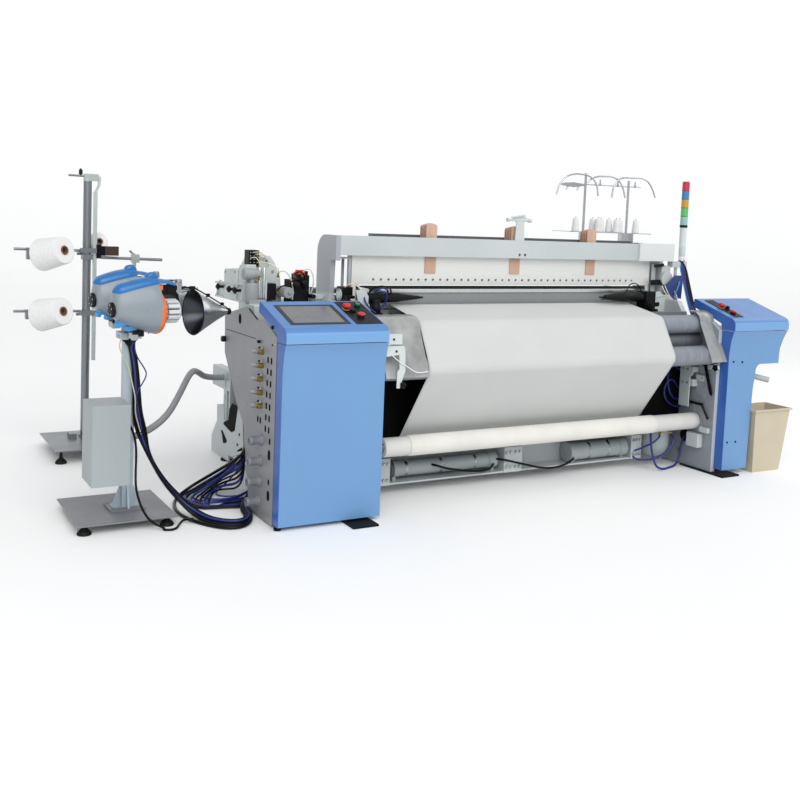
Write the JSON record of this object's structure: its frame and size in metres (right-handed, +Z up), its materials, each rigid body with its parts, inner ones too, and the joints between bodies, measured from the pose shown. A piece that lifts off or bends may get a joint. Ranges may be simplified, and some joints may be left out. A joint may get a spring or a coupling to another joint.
{
  "type": "power loom",
  "caption": "Air-jet power loom with warp beam, heald frames, swinging sley and reed, take-up and cloth roll, blue cabinets, weft feeders on a stand, yarn stand, selvage bobbins and waste bin.",
  "frame": {"origin": "middle of the bounding box's base, on the floor", "axes": "+X along the warp beam to the weaver's right, +Y from the weaver's side to the back of the machine, +Z up"},
  "size_m": [4.66, 2.4274, 1.962],
  "materials": {
    "left_side_frame": "semi-gloss machine enamel",
    "right_side_frame": "semi-gloss machine enamel",
    "cross_beams": "semi-gloss machine enamel",
    "levelling_feet": "matt black",
    "left_side_panel": "satin grey paint",
    "air_fittings": "turned brass with grey unions",
    "left_control_box": "satin grey paint",
    "left_cabinet_door": "satin light blue paint",
    "left_console": "satin light blue paint",
    "touch_screen": "dark glass in a dark frame",
    "switch_panels": "matt dark blue",
    "left_stop_button": "glossy red",
    "left_green_button": "glossy green",
    "left_red_button": "glossy red",
    "right_stop_button": "glossy red",
    "right_black_button": "glossy black",
    "right_red_button": "glossy red",
    "right_cabinet_cover": "satin light blue paint",
    "right_console": "satin light blue paint",
    "arches": "semi-gloss machine enamel",
    "top_beam": "semi-gloss machine enamel",
    "heald_guides": "waxed beech",
    "heald_frame": "brushed, clear anodised",
    "sley": "painted grey",
    "reed": "bright steel dents under an aluminium cap",
    "weft_nozzles": "bright",
    "temples": "matt black over a machined bar",
    "breast_roller": "smooth blue-grey covering",
    "take_up_roller": "grained blue-grey covering",
    "press_roller": "smooth dark covering",
    "cloth_roll": "cream cloth wound on a pale core",
    "woven_cloth": "plain woven, unbleached",
    "warp_sheet": "close parallel threads",
    "warp_beam": "wound yarn between painted flanges",
    "back_rest_roller": "polished",
    "warp_stop_motion": "bright steel bars",
    "roll_lock_lever": "black oxide",
    "tension_lever": "black oxide",
    "clear_guards": "clear acrylic",
    "air_tanks": "satin grey paint",
    "drive_housing": "semi-gloss machine enamel",
    "signal_tower": "translucent lamp sections",
    "bobbin_stand": "bright plated rods",
    "selvage_bobbins": "white yarn",
    "feeder_stand": "semi-gloss machine enamel",
    "feeder_control_box": "satin light grey paint",
    "weft_feeder": "satin grey with a blue hood",
    "winding_disc": "polished",
    "balloon_cones": "dark anodised, spun",
    "yarn_stand": "grey paint and plated rods",
    "yarn_packages": "white yarn",
    "waste_bin": "matt beige",
    "feeder_cable_bundle": "satin black sheath",
    "feeder_conduit": "ribbed grey conduit",
    "blue_air_hose": "satin blue polyurethane"
  },
  "bodies": {
    "frame": {"left_side_frame": "left_side_frame", "right_side_frame": "right_side_frame", "cross_beams": "cross_beams", "levelling_feet": "levelling_feet", "left_side_panel": "left_side_panel", "air_fittings": "air_fittings", "left_control_box": "left_control_box", "left_console": "left_console", "touch_screen": "touch_screen", "switch_panels": "switch_panels", "right_cabinet_cover": "right_cabinet_cover", "right_console": "right_console", "arches": "arches", "top_beam": "top_beam", "heald_guides": "heald_guides", "temples": "temples", "woven_cloth": "woven_cloth", "warp_sheet": "warp_sheet", "warp_stop_motion": "warp_stop_motion", "clear_guards": "clear_guards", "air_tanks": "air_tanks", "drive_housing": "drive_housing", "signal_tower": "signal_tower", "bobbin_stand": "bobbin_stand", "selvage_bobbins": "selvage_bobbins", "feeder_stand": "feeder_stand", "feeder_control_box": "feeder_control_box", "weft_feeder_front": "weft_feeder", "weft_feeder_rear": "weft_feeder", "balloon_cones": "balloon_cones", "yarn_stand": "yarn_stand", "yarn_packages": "yarn_packages", "waste_bin": "waste_bin", "feeder_cable_bundle": "feeder_cable_bundle", "feeder_conduit": "feeder_conduit", "blue_air_hose": "blue_air_hose"},
    "left_door": {"left_cabinet_door": "left_cabinet_door"},
    "left_stop": {"left_stop_button": "left_stop_button"},
    "left_green": {"left_green_button": "left_green_button"},
    "left_red": {"left_red_button": "left_red_button"},
    "right_stop": {"right_stop_button": "right_stop_button"},
    "right_black": {"right_black_button": "right_black_button"},
    "right_red": {"right_red_button": "right_red_button"},
    "healds_1": {"heald_frame_1": "heald_frame"},
    "healds_2": {"heald_frame_2": "heald_frame"},
    "healds_3": {"heald_frame_3": "heald_frame"},
    "healds_4": {"heald_frame_4": "heald_frame"},
    "sley_swing": {"sley": "sley", "reed": "reed", "weft_nozzles": "weft_nozzles"},
    "breast": {"breast_roller": "breast_roller"},
    "take_up": {"take_up_roller": "take_up_roller"},
    "press": {"press_roller": "press_roller"},
    "roll": {"cloth_roll": "cloth_roll"},
    "beam": {"warp_beam": "warp_beam"},
    "back_rest": {"back_rest_roller": "back_rest_roller"},
    "lock_lever": {"roll_lock_lever": "roll_lock_lever"},
    "slack_lever": {"tension_lever": "tension_lever"},
    "disc_front": {"winding_disc_front": "winding_disc"},
    "disc_rear": {"winding_disc_rear": "winding_disc"}
  },
  "joints": [
    {"name": "left_door_hinge", "type": "hinge", "parent": "frame", "child": "left_door", "pos_m": [-1.38546, -1.03967, 0.48], "axis": [0, 0, -1], "range_deg": [0, 110]},
    {"name": "left_stop_press", "type": "slide", "parent": "frame", "child": "left_stop", "axis": [0, 0.2947, -0.9556], "range_m": [0, 0.005], "stiffness_N_per_m": 600},
    {"name": "left_green_press", "type": "slide", "parent": "frame", "child": "left_green", "axis": [0, 0.2947, -0.9556], "range_m": [0, 0.004], "stiffness_N_per_m": 600},
    {"name": "left_red_press", "type": "slide", "parent": "frame", "child": "left_red", "axis": [0, 0.2947, -0.9556], "range_m": [0, 0.004], "stiffness_N_per_m": 600},
    {"name": "right_stop_press", "type": "slide", "parent": "frame", "child": "right_stop", "axis": [0, 0.2947, -0.9556], "range_m": [0, 0.005], "stiffness_N_per_m": 600},
    {"name": "right_black_press", "type": "slide", "parent": "frame", "child": "right_black", "axis": [0, 0.2947, -0.9556], "range_m": [0, 0.004], "stiffness_N_per_m": 600},
    {"name": "right_red_press", "type": "slide", "parent": "frame", "child": "right_red", "axis": [0, 0.2947, -0.9556], "range_m": [0, 0.004], "stiffness_N_per_m": 600},
    {"name": "heald_1_lift", "type": "slide", "parent": "frame", "child": "healds_1", "axis": [0, 0, 1], "range_m": [-0.035, 0.035]},
    {"name": "heald_2_lift", "type": "slide", "parent": "frame", "child": "healds_2", "axis": [0, 0, 1], "range_m": [-0.035, 0.035]},
    {"name": "heald_3_lift", "type": "slide", "parent": "frame", "child": "healds_3", "axis": [0, 0, 1], "range_m": [-0.035, 0.035]},
    {"name": "heald_4_lift", "type": "slide", "parent": "frame", "child": "healds_4", "axis": [0, 0, 1], "range_m": [-0.035, 0.035]},
    {"name": "sley_rock", "type": "hinge", "parent": "frame", "child": "sley_swing", "pos_m": [0.45804, -0.51567, 0.64], "axis": [1, 0, 0], "range_deg": [-9, 0]},
    {"name": "beam_turn", "type": "hinge", "parent": "frame", "child": "beam", "pos_m": [0.45804, 0.24433, 0.5], "axis": [1, 0, 0], "continuous": true},
    {"name": "take_up_turn", "type": "hinge", "parent": "frame", "child": "take_up", "pos_m": [0.45804, -1.00567, 0.787], "axis": [1, 0, 0], "continuous": true},
    {"name": "breast_turn", "type": "hinge", "parent": "frame", "child": "breast", "pos_m": [0.45804, -0.89867, 0.981], "axis": [1, 0, 0], "continuous": true},
    {"name": "press_turn", "type": "hinge", "parent": "frame", "child": "press", "pos_m": [0.45804, -0.86367, 0.868], "axis": [1, 0, 0], "continuous": true},
    {"name": "roll_turn", "type": "hinge", "parent": "frame", "child": "roll", "pos_m": [0.45804, -0.88567, 0.327], "axis": [1, 0, 0], "continuous": true},
    {"name": "back_rest_turn", "type": "hinge", "parent": "frame", "child": "back_rest", "pos_m": [0.45804, 0.45933, 1.005], "axis": [1, 0, 0], "continuous": true},
    {"name": "lock_lever_turn", "type": "hinge", "parent": "frame", "child": "lock_lever", "pos_m": [1.69004, -0.78567, 0.446], "axis": [1, 0, 0], "range_deg": [-20, 15]},
    {"name": "slack_lever_turn", "type": "hinge", "parent": "frame", "child": "slack_lever", "pos_m": [1.68604, -0.96367, 0.716], "axis": [1, 0, 0], "range_deg": [-8, 30]},
    {"name": "winding_disc_front_turn", "type": "hinge", "parent": "frame", "child": "disc_front", "pos_m": [-1.91396, -0.68567, 1.082], "axis": [0.9848, 0.1736, 0], "continuous": true},
    {"name": "winding_disc_rear_turn", "type": "hinge", "parent": "frame", "child": "disc_rear", "pos_m": [-1.92096, -0.29567, 1.096], "axis": [0.9848, 0.1736, 0], "continuous": true}
  ],
  "couplings": [
    {"joint": "heald_2_lift", "follows": "heald_1_lift", "ratio": -1},
    {"joint": "heald_3_lift", "follows": "heald_1_lift", "ratio": 1},
    {"joint": "heald_4_lift", "follows": "heald_1_lift", "ratio": -1},
    {"joint": "back_rest_turn", "follows": "beam_turn", "ratio": 4.2857},
    {"joint": "breast_turn", "follows": "beam_turn", "ratio": 5},
    {"joint": "take_up_turn", "follows": "beam_turn", "ratio": 4.7619},
    {"joint": "press_turn", "follows": "beam_turn", "ratio": -6.25},
    {"joint": "roll_turn", "follows": "beam_turn", "ratio": -5.1724}
  ]
}
